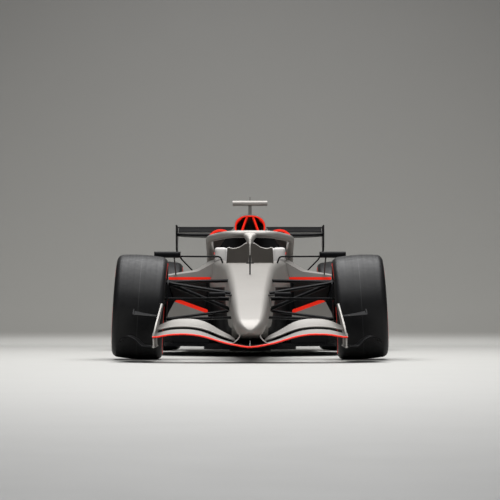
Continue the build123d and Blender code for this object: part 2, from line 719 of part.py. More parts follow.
# Steering wheel on its column.
COLUMN_PLACE = Location((0, behind(1090), 600), (COLUMN_RISE - 90, 0, 0))
column = Cylinder(COLUMN_RADIUS, 200).moved(Location((0, 0, -125)))
column += Cylinder(COLUMN_STUB, 60).moved(Location((0, 0, -10)))
column = largest(column.moved(COLUMN_PLACE) - cell)
write("steering_column", column)
grip = extrude(Rectangle(2 * WHEEL_HALF_WIDTH, 2 * WHEEL_HALF_HEIGHT), amount=34)
grip = fillet(grip.edges().filter_by(Axis.Z), 34)
for side in (-1, 1):
    grip -= Box(44, 62, 120).moved(Location((side * 72, 0, 0)))
grip += Cylinder(30, 44).moved(Location((0, 0, 6)))
grip -= Cylinder(COLUMN_STUB + AXLE_CLEARANCE, 60).moved(Location((0, 0, -4)))
write("steering_wheel", grip.moved(COLUMN_PLACE))


def ribbon(corners, radii, thickness, start, end):
    """A bent sheet seen from the front: its middle line through corners (x, height), drawn along the car."""
    outer, inner = [], []
    for index, (x, z) in enumerate(corners):
        runs = []
        for a, b in ((index - 1, index), (index, index + 1)):
            if a >= 0 and b < len(corners):
                dx, dz = corners[b][0] - corners[a][0], corners[b][1] - corners[a][1]
                runs.append((-dz / math.hypot(dx, dz), dx / math.hypot(dx, dz)))
        nx, nz = (sum(run[k] for run in runs) for k in (0, 1))
        grow = thickness / 2 / (nx * runs[0][0] + nz * runs[0][1])
        outer.append((x + nx * grow, behind(start), z + nz * grow))
        inner.append((x - nx * grow, behind(start), z - nz * grow))
    bends = [0, *radii, 0]
    wire = Wire(FilletPolyline(*outer, *reversed(inner), radius=bends + bends[::-1], close=True).edges())
    return extrude(Face(wire), amount=end - start, dir=(0, 1, 0))


# Front wing: columns are x, leading edge distance, leading edge height, chord, rise, thickness, hollow.
MAIN_PLANE = [
    (0, -1195, 106, 258, 8, 15, 6), (120, -1194, 122, 252, 10, 15, 6), (200, -1184, 145, 240, 14, 15, 7),
    (280, -1170, 167, 226, 22, 15, 8), (345, -1154, 182, 208, 28, 15, 8), (445, -1126, 189, 182, 30, 14, 8),
    (530, -1100, 182, 164, 28, 14, 8), (640, -1066, 169, 146, 24, 13, 7),
]
WING_FLAP = [
    (96, -925, 140, 150, 6, 11, 4), (120, -930, 148, 160, 14, 12, 5), (190, -940, 178, 185, 30, 13, 8),
    (265, -940, 207, 200, 42, 14, 9), (347, -935, 229, 205, 50, 14, 10), (447, -925, 237, 200, 50, 14, 10),
    (532, -912, 229, 190, 40, 13, 9), (640, -894, 211, 170, 26, 12, 8),
]
front_plate = ribbon([(629, 98), (631, 176), (587, 386)], [60], ENDPLATE, -1100, -425)
front_plate &= side_plate(
    [(-1092, 90), (-1050, 240), (-720, 392), (-470, 380), (-432, 250), (-432, 90)],
    [0, 120, 60, 40, 60, 0], 500, 700,
)
foot_line = [(FRONT_FOOT_HALF, 132), (852, 156), (800, 172), (752, 148), (712, 106), (618, 104)]
foot_plate = ribbon(foot_line, [20, 40, 60, 40], 8, -1090, -440)
foot_plate &= plan_plate(
    [(600, -1086), (690, -1064), (FRONT_FOOT_HALF + 20, -880), (FRONT_FOOT_HALF + 20, -440), (600, -440)],
    [0, 60, 90, 30, 0], 0, 300,
)
DIVE_PLANE = [
    (598, -800, 300, 250, 6, 10, 4), (690, -760, 305, 240, 14, 10, 6), (782, -700, 313, 220, 26, 10, 8)
]
dive_plane = Solid.make_loft([aerofoil(*row) for row in DIVE_PLANE])
dive_tip = largest(side_plate([(-706, 308), (-476, 330), (-476, 352), (-600, 340)], [0, 0, 12, 60], 776, 782))
front_endplate = front_plate + foot_plate + dive_plane + dive_tip
front_endplates = [front_endplate, other_side(front_endplate)]
pylon = ribbon([(58, 210), (72, 160), (126, 116)], [60], 6, -1120, -800)
pylon &= side_plate(
    [(-1130, 100), (-1090, 230), (-800, 230), (-790, 150), (-850, 100)], [0, 60, 0, 60, 30], 0, 200
)
main_raw = wing(even_rows(MAIN_PLANE, 0, 640, 9))
main_plane = largest(main_raw - front_endplates[0] - front_endplates[1])
pylon = largest(pylon - nose - main_plane)
flap_raw = Solid.make_loft([aerofoil(*row) for row in even_rows(WING_FLAP, 96, 640, 8)])
front_flap = largest(flap_raw - front_endplate - pylon)
strake_outline = [(-1150, 104), (-1120, 150), (-1010, 150), (-990, 104)]
strake = largest(side_plate(strake_outline, [0, 20, 20, 0], -2.5, 2.5) - main_plane)
write("front_wing_mainplane", main_plane)
write("front_wing_flaps", front_flap, other_side(front_flap))
write("front_wing_endplates", *front_endplates)
write("nose_pylons", pylon, other_side(pylon), strake)

# Rear wing.
REAR_MAIN = [
    (0, 3690, 924, 240, 22, 28, 14), (330, 3694, 930, 238, 20, 27, 14),
    (REAR_WING_HALF + 4, 3704, 944, 228, 10, 24, 10),
]
REAR_FLAP = [
    (0, 3926, 962, 132, 46, 18, 8), (REAR_WING_HALF - 11, 3926, 964, 132, 44, 18, 8),
]
FLAP_PIVOT = (behind(4042), 1002.0)
rear_line = [(REAR_WING_HALF, 1016), (REAR_WING_HALF, 800), (558, 735), (458, 632), (396, 560)]
rear_plate = ribbon(rear_line, [70, 60, 60], ENDPLATE, 3640, 4110)
rear_outline = [
    (3650, 1030), (4100, 1030), (4100, 900), (4010, 770), (3990, 540), (3850, 540), (3760, 740), (3650, 880)
]
rear_plate &= side_plate(rear_outline, [0, 0, 80, 80, 0, 0, 80, 80], 300, 700)
flap_pin_bore = axle_bar(FLAP_PIN_RADIUS + AXLE_CLEARANCE, -REAR_WING_HALF - 2, REAR_WING_HALF + 2)
flap_pin_bore = flap_pin_bore.moved(Location((0, *FLAP_PIVOT)))
rear_plate = largest(rear_plate - flap_pin_bore)
rear_endplates = [rear_plate, other_side(rear_plate)]
rear_main = wing(even_rows(REAR_MAIN, 0, REAR_WING_HALF + 4, 4))
rear_main = largest(rear_main - rear_endplates[0] - rear_endplates[1])
rear_flap = wing(even_rows(REAR_FLAP, 0, REAR_WING_HALF - 11, 3))
rear_flap += axle_bar(FLAP_PIN_RADIUS, -REAR_WING_HALF, REAR_WING_HALF).moved(Location((0, *FLAP_PIVOT)))
pylon_outline = [(3800, 380), (3990, 380), (3900, 700), (3890, 960), (3770, 960), (3790, 700)]
wing_pylon = side_plate(pylon_outline, [0, 0, 300, 0, 0, 200], -8, 8)
wing_pylon = largest(wing_pylon - crash - rear_main - block(20, 3700, 4100, 938, 1000))
write("rear_wing_mainplane", rear_main)
write("rear_wing_endplates", *rear_endplates)
write("rear_wing_flap", rear_flap)
write("rear_wing_pylon", wing_pylon)

# Bargeboards ahead of the sidepods.
vane_front = [(296, FLOOR_TOP), (306, 338), (516, 412), (548, 402), (606, 296), (566, FLOOR_TOP)]
vane_window = extrude(Face(side_section(950, vane_front, [0, 10, 30, 30, 60, 0])), amount=400, dir=(0, 1, 0))
vane_sheet = [(292, 1000), (440, 1110), (620, 1262)]
vane = plan_plate(
    vane_sheet + [(x - 8, d + 10) for x, d in reversed(vane_sheet)], [0, 200, 0, 0, 200, 0], FLOOR_TOP, 450
)
bargeboard = largest((vane & vane_window) - cell_solid)
write("bargeboards", bargeboard, other_side(bargeboard))

# Mirrors on their stays.
mirror = Box(190, 96, 44).moved(Location((598, behind(1000), 736)))
mirror = fillet(mirror.faces().sort_by(Axis.Y)[0].edges(), 21)
mirror -= Box(172, 8, 32).moved(Location((598, behind(1046), 736)))
mirror_glass = Box(172, 4, 32).moved(Location((598, behind(1044), 736)))
stays = rod([(520, behind(1000), 724), (214, behind(1000), 722), (192, behind(1000), 660)], [24], 6)
stays += strut((548, behind(1008), 713), (548, behind(1470), 592), 22, 10)
mirror = largest(mirror + stays - cell_solid - pod_solid)
write("mirrors", mirror, other_side(mirror))
write("mirror_glass", mirror_glass, other_side(mirror_glass))

# Cameras and the air speed mast.
pod = Box(112, 130, 31).moved(Location((224, behind(-300), 447)))
pod = fillet(pod.edges().filter_by(Axis.X), 13)
pod = fillet(pod.faces().sort_by(Axis.X)[-1].edges(), 8)
pod += strut((100, behind(-300), 440), (176, behind(-300), 446), 60, 12)
camera = largest(pod - nose)
write("nose_cameras", camera, other_side(camera))
top_camera = Box(264, 84, 38).moved(Location((0, behind(2110), 1143)))
top_camera = fillet(top_camera.edges().filter_by(Axis.X), 17)
top_camera += block(13, 2080, 2150, 980, 1140)
top_camera = largest(top_camera - cover_skin)
top_camera += post(3, 1155, 1192, y=behind(2120))
write("t_camera", top_camera)
mast = post(5, 560, 724, y=behind(300)) + axle_bar(4, -26, 26).moved(Location((0, behind(300), 668)))
write("pitot_mast", largest(mast - cell_solid))

# Front suspension: wishbones and pull rods.
upper_front = wishbone(
    FRONT_PLACE, KINGPIN_TOP, 56, 24, [(110, -196, 452), (120, 330, 545)]
)
lower_front = wishbone(FRONT_PLACE, KINGPIN_FOOT, 56, 20, [(90, -330, 292), (110, 320, 338)])
pull_top = at_corner(FRONT_PLACE, -KINGPIN_INSET - 46, -18, KINGPIN_TOP - 8)
pull_rod = strut(pull_top, (100, behind(70), 330), 36, 26)
front_arms = [largest(part - nose - cell_solid) for part in (upper_front, lower_front)]
pull_rod = largest(pull_rod - front_arms[0] - front_arms[1] - cell_solid)
front_arms.append(pull_rod)
write("front_suspension", *front_arms, *[other_side(arm) for arm in front_arms])

# Rear suspension: wishbones carried by the gearbox.
rear_upper_ends = [(70, 3120, 428), (60, 3600, 418)]
rear_lower_ends = [(70, 3060, 300), (60, 3640, 320)]
rear_arms = []
for height, ends in ((KINGPIN_TOP, rear_upper_ends), (KINGPIN_FOOT, rear_lower_ends)):
    rear_arms.append(largest(wishbone(REAR_PLACE, height, 56, 18, ends) - gearbox_solid))
    outer = at_corner(REAR_PLACE, -KINGPIN_INSET, 0, height)
    for x, distance, z in ends:
        slot = strut(outer, (x, behind(distance), z), 72, 34)
        engine_cover = engine_cover - slot - other_side(slot)
shaft_slot = axle_bar(SHAFT_RADIUS + 30, SHAFT_END - 40, -200).moved(REAR_PLACE)
engine_cover = largest(engine_cover - shaft_slot - other_side(shaft_slot) - gearbox_solid - exhaust - hanger)
write("engine_cover", engine_cover)
write("rear_suspension", *rear_arms, *[other_side(arm) for arm in rear_arms])
rear_upright = upright(REAR_SECTION) - axle_bar(AXLE_RADIUS + AXLE_CLEARANCE, -400, 400)
rear_upright = rear_upright.moved(REAR_PLACE)
write("rear_uprights", rear_upright, other_side(rear_upright))

# Wheels and steered knuckles.
knuckle = front_upright().moved(FRONT_PLACE)
front_tyre, rear_tyre = tyre(FRONT_SECTION).moved(FRONT_PLACE), tyre(REAR_SECTION).moved(REAR_PLACE)
front_rim, rear_rim = rim(FRONT_SECTION).moved(FRONT_PLACE), rim(REAR_SECTION).moved(REAR_PLACE)
driveshaft = axle_bar(AXLE_RADIUS, drum_face() - 20, rim_face(REAR_SECTION) - 10.5)
driveshaft += axle_bar(SHAFT_RADIUS, SHAFT_END, drum_face())
boot = SHAFT_END + 150
driveshaft += turned([(boot, 0), (boot, 40), (boot + 55, 26), (boot + 55, 0)])
driveshaft = driveshaft.moved(REAR_PLACE)
for name, shape in (
    ("front_upright", knuckle), ("tyre_front", front_tyre), ("rim_front", front_rim),
    ("tyre_rear", rear_tyre), ("rim_rear", rear_rim), ("driveshaft", driveshaft),
):
    write(name + "_left", shape)
    write(name + "_right", other_side(shape))

# Steering rack with its track rods.
rack = axle_bar(RACK_RADIUS, -RACK_HALF, RACK_HALF).moved(rack_place)
track_rod = axle_bar(TRACK_ROD_RADIUS, RACK_HALF, pin_place.X).moved(rack_place)
ring = post(EYE_RADIUS, STEER_PLATE + 10, STEER_PLATE + 26, -KINGPIN_INSET, -STEER_ARM)
ring_bore = post(
    STEER_PIN_RADIUS + STEER_EYE_DRIFT, STEER_PLATE - 20, STEER_PLATE + 60, -KINGPIN_INSET, -STEER_ARM
)
track_rod = largest(track_rod + ring.moved(FRONT_PLACE) - ring_bore.moved(FRONT_PLACE))
write("steering_rack", rack)
write("track_rods", track_rod, other_side(track_rod))
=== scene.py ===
"""Looks of the open wheel racing car: its finishes, small fittings and the studio it stands in."""

import json
import math

import bmesh
import bpy
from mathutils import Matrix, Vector
from mathutils.bvhtree import BVHTree


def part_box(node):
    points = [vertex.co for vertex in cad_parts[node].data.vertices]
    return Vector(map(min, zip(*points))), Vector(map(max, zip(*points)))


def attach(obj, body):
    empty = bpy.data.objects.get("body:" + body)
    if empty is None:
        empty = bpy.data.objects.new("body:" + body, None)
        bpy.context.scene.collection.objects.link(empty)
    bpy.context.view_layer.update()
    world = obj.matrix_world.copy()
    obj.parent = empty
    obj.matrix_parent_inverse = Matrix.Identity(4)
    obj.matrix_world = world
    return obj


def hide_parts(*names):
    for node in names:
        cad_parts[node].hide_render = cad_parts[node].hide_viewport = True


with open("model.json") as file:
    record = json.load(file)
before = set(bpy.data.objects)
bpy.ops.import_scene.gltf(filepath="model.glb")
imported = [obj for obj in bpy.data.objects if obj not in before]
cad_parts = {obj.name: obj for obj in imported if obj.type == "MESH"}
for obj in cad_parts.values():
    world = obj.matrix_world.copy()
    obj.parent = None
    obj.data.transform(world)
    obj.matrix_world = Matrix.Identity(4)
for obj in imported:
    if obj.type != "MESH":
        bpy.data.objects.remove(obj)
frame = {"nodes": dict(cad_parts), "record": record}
NODES = frame["nodes"]
JOINTS = {joint["name"]: joint for joint in frame["record"]["behaviour"]["joints"]}
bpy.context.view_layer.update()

# Colours, linear light.
TITANIUM = (0.252, 0.239, 0.224)
CARBON = (0.0042, 0.0042, 0.0048)
RED = (1.0, 0.030, 0.012)
DARK_GREY = (0.10, 0.096, 0.09)
RUBBER = (0.005, 0.005, 0.0055)
SEAM = (0.03, 0.03, 0.031)
FOAM = (0.56, 0.545, 0.53)
# The next colour is the steering wheel's display, and also the deflector ahead of the cockpit, whose titanium
# is painted this dark grey as painted shade.
SCREEN_SHADE_AND_DISPLAY = (0.17, 0.155, 0.14)
STEEL = (0.45, 0.44, 0.43)
CAST_METAL = (0.2, 0.2, 0.2)
MIRROR_METAL = (0.85, 0.86, 0.87)
RIM_METAL = (0.03, 0.03, 0.03)
PALE_FLOOR = (0.412, 0.408, 0.391)
WALL_LOW = (0.267, 0.262, 0.246)
# The wall's upper colour is painted shade.
WALL_PAINTED_SHADE = (0.094, 0.092, 0.086)
SKY = (0.9, 0.95, 1.0)

# Gloss of the finishes. MATT_LOSS is the share of the gloss that plain paint takes off.
TITANIUM_METALLIC = 0.5
MATT_LOSS = 0.8
CARBON_SPECULAR = 0.05
RED_SPECULAR = 0.25
RUBBER_SPECULAR = 0.22
FOAM_SHEEN = 0.3

# Grain of the finishes, in repeats per metre. The threads and the worn tread are lighter by a factor.
FLAKE_GRAIN = 2600.0
CARBON_GRAIN = 420.0
CARBON_THREAD = 1.8
CARBON_THREAD_SHARE = 0.55
FOAM_GRAIN = 260.0
SCUFF_GRAIN = 38.0
STREAK_GRAIN = 55.0
TREAD_WEAR = 2.1

# Tyre markings, in metres from the axle. The red ring is broken where the sine of its angle is small.
TREAD_RADIUS = 0.345
SEAM_HALF = 0.0018
RING_RADII = (0.300, 0.316)
RING_START = 0.35
RING_GAP = 0.34
SIDE_RIBS = 700.0
SIDE_RIB_HEIGHT = 0.25

# Where the photo was taken from, in metres, degrees and millimetres of lens.
FRONT_AXLE_Y = -1.525
CAMERA_DISTANCE = 20.2
CAMERA_HEIGHT = 0.437
CAMERA_PITCH = 0.9
CAMERA_LENS = 211.0
CAMERA_REACH = 200.0

# The studio, in metres. The wall is painted darker upwards within the fade heights below, as painted shade of
# a studio lit from above.
WALL_BEHIND_AXLE = 5.9
WALL_TOP = 30.0
WALL_SHADE_FADE = (0.3, 3.4)
FLOOR_FRONT = -40.0
FLOOR_BLEND = 0.08
COVE_HALF_WIDTH = 60.0
COVE_RADIUS = 0.12
COVE_STEPS = 12
SKY_STRENGTH = 0.10
# Columns: name, place, size across and along, power in watts, point aimed at.
LAMPS = [
    ("top", (0.0, -3.4, 7.0), (7.0, 16.0), 1450.0, (0.0, -3.4, 0.0)),
    ("pool", (0.0, -0.4, 4.6), (3.0, 5.0), 120.0, (0.0, -0.2, 0.0)),
]

# Smooth shading.
SMOOTH_ANGLE = math.radians(32)
WELD_DISTANCE = 0.00002

# Trim and fittings, in metres.
STRIP_STEPS = 90
STRIP_RAYS = 240
STRIP_END = 0.004
STRIP_RADIUS = 0.0055
SCREEN_EDGE_STEPS = 32
SCREEN_EDGE_START = 0.022
SCREEN_EDGE_SHORTER = 0.030
SCREEN_EDGE_RADIUS = 0.0055
RIB_POINTS = [
    (0, -0.642, 0.684), (0, -0.626, 0.712), (0, -0.620, 0.74),
    (0, -0.619, 0.80), (0, -0.606, 0.822), (0, -0.534, 0.842),
]
RIB_RADIUS = 0.0075
PAD_ROUNDS = 10
SCREW_RADIUS = 0.0055
SCREW_HEIGHT = 0.0016
SCREW_SIDES = 16
GRIP_FACE = 0.034
KNOB_TAPER = 0.8
KNOB_BEVEL = 0.12
KNOB_SIDES = 20
BUTTON_RADIUS = 0.0065
BUTTON_HEIGHT = 0.006
BUTTONS_ON_A_SIDE = ((0.105, -0.045), (0.105, 0.045), (0.062, -0.052), (0.062, 0.050))
SWITCH_RADIUS = 0.0105
SWITCH_HEIGHT = 0.009
SWITCHES = (-0.034, 0.0, 0.034)
SWITCH_DOWN = 0.052
DISPLAY_SIZE = (0.082, 0.050, 0.004)
DISPLAY_UP = 0.043
DISPLAY_BEVEL = 0.0015

# Painted panels of the metallic pieces: low corner, high corner and paint, x as |x|. Some black panels are
# painted shade, as marked below.
PANELS = {
    "survival_cell": [
        # Painted shade: the first box paints the survival cell's lower sides black where the titanium is in
        # shadow. The other two black the cockpit's inside.
        ((0.13, -1.0, 0), (2, 9, 0.50), CARBON), ((0, -0.6, 0), (0.15, -0.43, 0.66), CARBON),
        ((0, -0.44, 0), (0.22, 0.32, 0.66), CARBON),
    ],
    "engine_cover": [((0, -9, 0), (2, 0.437, 0.9), CARBON)],
    "front_wing_endplates": [
        ((0.64, -9, -1), (2, 9, 0.20), CARBON), ((0.613, -9, 0.285), (2, 9, 0.36), CARBON),
    ],
    "sidepods": [
        # Painted shade: the first two boxes paint the sidepod's front below the inlet's top and the inside of
        # the inlet black, for the shade in the mouth and under the lip. Then black below 0.26 m and the red
        # lip of the inlet.
        ((0, -9, 0), (2, -0.10, 0.556), CARBON), ((0.31, -0.11, 0.33), (0.618, 0.4, 0.556), CARBON),
        ((0, -9, 0), (2, 9, 0.26), CARBON), ((0.27, -9, 0.557), (0.60, -0.095, 0.577), RED),
    ],
    "t_camera": [
        ((0, -9, 0), (0.014, 9, 1.124), DARK_GREY), ((0, -9, 1.163), (0.014, 9, 2), DARK_GREY),
    ],
}
# Painted shade: the bargeboard is black below 0.28 m, for the shade under the car.
BARGEBOARD_SHADE_PANELS = [((0, -9, 0), (2, 9, 0.28), CARBON)]
# x and z of a point on the red band's top edge, the edge's slope, and the band's depth.
BARGEBOARD_RED = (0.306, 0.338, 0.352, 0.028)
# A wing's face counts as its underside where its normal points down by more than this.
UNDERSIDE = -0.15
PLAIN_PIECES = ["nose_cone", "halo", "cooling_scoops", "front_wing_flaps", "nose_pylons"]
CARBON_PIECES = [
    "floor", "diffuser", "plank", "rear_wing_mainplane", "rear_wing_endplates", "rear_wing_flap",
    "rear_wing_pylon", "mirrors", "nose_cameras", "pitot_mast", "track_rods", "steering_rack",
    "steering_column", "steering_wheel", "front_suspension", "rear_suspension", "front_upright_left",
    "front_upright_right", "rear_uprights", "rear_crash_structure",
]
CAST_PIECES = ["engine_block", "gearbox_casing", "radiators"]
STEEL_PIECES = ["exhaust_pipe", "exhaust_hanger", "driveshaft_left", "driveshaft_right"]
WHEELS = ("front_left", "front_right", "rear_left", "rear_right")

# The air box mouth's middle and half size across and upwards, and how far back the black begins that paints
# the shade deep inside it.
AIRBOX_MIDDLE = (0.0, 0.955)
AIRBOX_REACH = (0.1215, 0.094)
AIRBOX_SHADE_START = 0.37
RIM_SQUARENESS = 2.4
RIM_SHARE = 0.86

# Columns: name, node, first point, step, count on each side, direction of the ray.
FASTENER_ROWS = [
    ("nose_side_screws", "nose_cone", (2.0, -1.745, 0.26), (0.0, 0.0, 0.05), 4, (-1, 0, 0)),
    ("pod_top_screws", "sidepods", (0.36, 0.02, 2.0), (0.0, 0.11, 0.0), 11, (0, 0, -1)),
    ("pod_edge_screws", "sidepods", (2.0, 0.02, 0.48), (0.0, 0.13, 0.0), 9, (-1, 0, 0)),
    ("cover_side_screws", "engine_cover", (2.0, 0.52, 0.82), (0.0, 0.12, -0.02), 10, (-1, 0, 0)),
    ("floor_edge_screws", "floor", (0.685, 0.0, 2.0), (0.0, 0.1, 0.0), 12, (0, 0, -1)),
    ("wing_end_screws", "rear_wing_endplates", (2.0, 2.20, 0.935), (0.0, 0.05, 0.004), 5, (-1, 0, 0)),
    ("wing_foot_screws", "front_wing_endplates", (0.66, -2.5, 2.0), (0.0, 0.07, 0.0), 6, (0, 0, -1)),
]


class Finish:
    """A material built from nodes, with short helpers for what several finishes share."""

    def __init__(self, name, colour, metallic=0.0, roughness=0.5):
        self.material = bpy.data.materials.new(name)
        self.material.use_nodes = True
        self.tree = self.material.node_tree
        self.surface = self.tree.nodes["Principled BSDF"]
        self.surface.inputs["Base Color"].default_value = (*colour, 1.0)
        self.surface.inputs["Metallic"].default_value = metallic
        self.surface.inputs["Roughness"].default_value = roughness
        self.colour = self.value(colour)
        self.place = self.add("ShaderNodeTexCoord").outputs["Object"]
        self.axes = self.add("ShaderNodeSeparateXYZ", Vector=self.place).outputs

    def add(self, kind, **inputs):
        """A node whose named inputs are set or linked."""
        made = self.tree.nodes.new(kind)
        for name, what in inputs.items():
            self.feed(made.inputs[name.replace("_", " ")], what)
        return made

    def feed(self, socket, what):
        """A value or a link into a socket."""
        if isinstance(what, bpy.types.NodeSocket):
            self.tree.links.new(what, socket)
        else:
            socket.default_value = what

    def value(self, colour):
        """A colour as a socket."""
        made = self.tree.nodes.new("ShaderNodeRGB")
        made.outputs[0].default_value = (*colour, 1.0)
        return made.outputs[0]

    def math(self, operation, first, second=0.0):
        """One sum of two numbers or sockets."""
        made = self.tree.nodes.new("ShaderNodeMath")
        made.operation = operation
        self.feed(made.inputs[0], first)
        self.feed(made.inputs[1], second)
        return made.outputs[0]

    def vector(self, operation, first, second=(0.0, 0.0, 0.0)):
        """One sum of two vectors or sockets."""
        made = self.tree.nodes.new("ShaderNodeVectorMath")
        made.operation = operation
        self.feed(made.inputs[0], first)
        self.feed(made.inputs[1], second)
        return made.outputs["Value" if operation in ("DOT_PRODUCT", "LENGTH") else "Vector"]

    def between(self, socket, low, high):
        """1 where the socket lies between two values, or 0."""
        above = self.math("GREATER_THAN", socket, low)
        return self.math("MULTIPLY", above, self.math("LESS_THAN", socket, high))

    def noise(self, scale, detail=3.0, place=None):
        """Fine noise in the piece's own place, or in another one."""
        made = self.add("ShaderNodeTexNoise", Vector=place or self.place, Scale=scale, Detail=detail)
        return made.outputs["Fac"]

    def mix(self, factor, colour):
        """Lays a colour over the finish where factor is 1."""
        made = self.tree.nodes.new("ShaderNodeMix")
        made.data_type = "RGBA"
        self.feed(made.inputs["Factor"], factor)
        self.feed(made.inputs["A"], self.colour)
        self.feed(made.inputs["B"], (*colour, 1.0))
        self.colour = made.outputs["Result"]

    def ramp(self, socket, low, high):
        """A socket of 0 to 1 stretched between two values."""
        made = self.add("ShaderNodeMapRange", Value=socket)
        made.inputs["To Min"].default_value = low
        made.inputs["To Max"].default_value = high
        return made.outputs["Result"]

    def rise(self, low, high):
        """0 below one height, 1 above another."""
        made = self.add("ShaderNodeMapRange", Value=self.axes["Z"])
        made.inputs["From Min"].default_value = low
        made.inputs["From Max"].default_value = high
        return made.outputs["Result"]

    def rough(self, socket, low, high):
        """Roughness between two values."""
        self.feed(self.surface.inputs["Roughness"], self.ramp(socket, low, high))

    def specular(self, level):
        """How much of the surface's plain gloss is kept."""
        self.surface.inputs["Specular IOR Level"].default_value = level

    def bump(self, height, strength, distance):
        """Bump on the surface."""
        made = self.add("ShaderNodeBump", Height=height, Strength=strength, Distance=distance)
        self.feed(self.surface.inputs["Normal"], made.outputs["Normal"])

    def done(self):
        """The finished material."""
        self.feed(self.surface.inputs["Base Color"], self.colour)
        return self.material


def vary(finish, scale, shade, rough_low, rough_high):
    """Uneven tone and gloss, as on any handled surface."""
    cloud = finish.noise(scale)
    shaded = finish.add("ShaderNodeHueSaturation", Color=finish.colour)
    finish.feed(shaded.inputs["Value"], finish.ramp(cloud, 1.0 - shade, 1.0 + shade))
    finish.colour = shaded.outputs["Color"]
    finish.rough(finish.noise(4 * scale), rough_low, rough_high)


def lay(finish, where, paint):
    """Lays plain matt paint over metallic paint where the mask is 1."""
    finish.mix(where, paint)
    for name, loss in (("Metallic", 1.0), ("Specular IOR Level", MATT_LOSS)):
        socket = finish.surface.inputs[name]
        before = socket.links[0].from_socket if socket.links else socket.default_value
        kept = finish.math("SUBTRACT", 1.0, finish.math("MULTIPLY", where, loss))
        finish.feed(socket, finish.math("MULTIPLY", before, kept))


def titanium(name, panels=(), red_line=None, black_below=False):
    """Satin metallic paint with other paint on it.

    panels are (low x, y, z), (high x, y, z) and a paint, x as |x|. red_line is (x, z, slope, depth): red
    above the line that runs at that depth below a sloping top edge. black_below is for a wing's underside.
    """
    finish = Finish(name, TITANIUM, metallic=TITANIUM_METALLIC)
    vary(finish, scale=2.5, shade=0.05, rough_low=0.46, rough_high=0.54)
    finish.bump(finish.noise(FLAKE_GRAIN, detail=1.0), strength=0.08, distance=0.0004)
    across = finish.math("ABSOLUTE", finish.axes["X"])
    for low, high, paint in panels:
        inside = finish.between(across, low[0], high[0])
        for axis, start, end in zip("YZ", low[1:], high[1:]):
            inside = finish.math("MULTIPLY", inside, finish.between(finish.axes[axis], start, end))
        lay(finish, inside, paint)
    if red_line:
        x, z, slope, depth = red_line
        edge = finish.math("ADD", z, finish.math("MULTIPLY", finish.math("SUBTRACT", across, x), slope))
        line = finish.math("SUBTRACT", edge, depth)
        lay(finish, finish.math("GREATER_THAN", finish.axes["Z"], line), RED)
    if black_below:
        normal = finish.add("ShaderNodeNewGeometry").outputs["Normal"]
        facing = finish.add("ShaderNodeSeparateXYZ", Vector=normal).outputs["Z"]
        lay(finish, finish.math("LESS_THAN", facing, UNDERSIDE), CARBON)
    return finish.done()


def mouth_paint(name, middle, reach, rear):
    """Satin metallic paint on the rim of an intake, red inside the rim, and black behind its bars as painted
    shade deep in the mouth.

    middle and reach are the rim's middle and half size across and upwards. The painted shade begins at rear.
    """
    finish = Finish(name, TITANIUM, metallic=TITANIUM_METALLIC, roughness=0.45)
    terms = []
    for axis, centre, half in zip("XZ", middle, reach):
        offset = finish.math("ABSOLUTE", finish.math("SUBTRACT", finish.axes[axis], centre))
        terms.append(finish.math("POWER", finish.math("DIVIDE", offset, half), RIM_SQUARENESS))
    inside = finish.math("LESS_THAN", finish.math("ADD", *terms), RIM_SHARE)
    lay(finish, inside, RED)
    # Painted shade: black behind the bars, deep in the intake.
    behind = finish.math("GREATER_THAN", finish.axes["Y"], rear)
    lay(finish, finish.math("MULTIPLY", inside, behind), CARBON)
    return finish.done()


def carbon(name):
    """Woven carbon under satin lacquer."""
    finish = Finish(name, CARBON)
    weave = finish.add("ShaderNodeTexChecker", Vector=finish.place, Scale=CARBON_GRAIN).outputs["Fac"]
    thread = finish.math("MULTIPLY", weave, CARBON_THREAD_SHARE)
    finish.mix(thread, tuple(CARBON_THREAD * c for c in CARBON))
    finish.rough(finish.noise(9.0), 0.28, 0.46)
    finish.bump(weave, strength=0.05, distance=0.0003)
    finish.specular(CARBON_SPECULAR)
    return finish.done()


def red_paint(name):
    """Bright satin red."""
    finish = Finish(name, RED)
    finish.specular(RED_SPECULAR)
    vary(finish, scale=6.0, shade=0.05, rough_low=0.36, rough_high=0.48)
    finish.bump(finish.noise(900.0), strength=0.04, distance=0.0004)
    return finish.done()


def metal(name, colour, rough_low, rough_high, grain):
    """Bare or blackened metal with fine grain."""
    finish = Finish(name, colour, metallic=1.0)
    vary(finish, 14.0, 0.12, rough_low, rough_high)
    finish.bump(finish.noise(grain), strength=0.12, distance=0.0006)
    return finish.done()


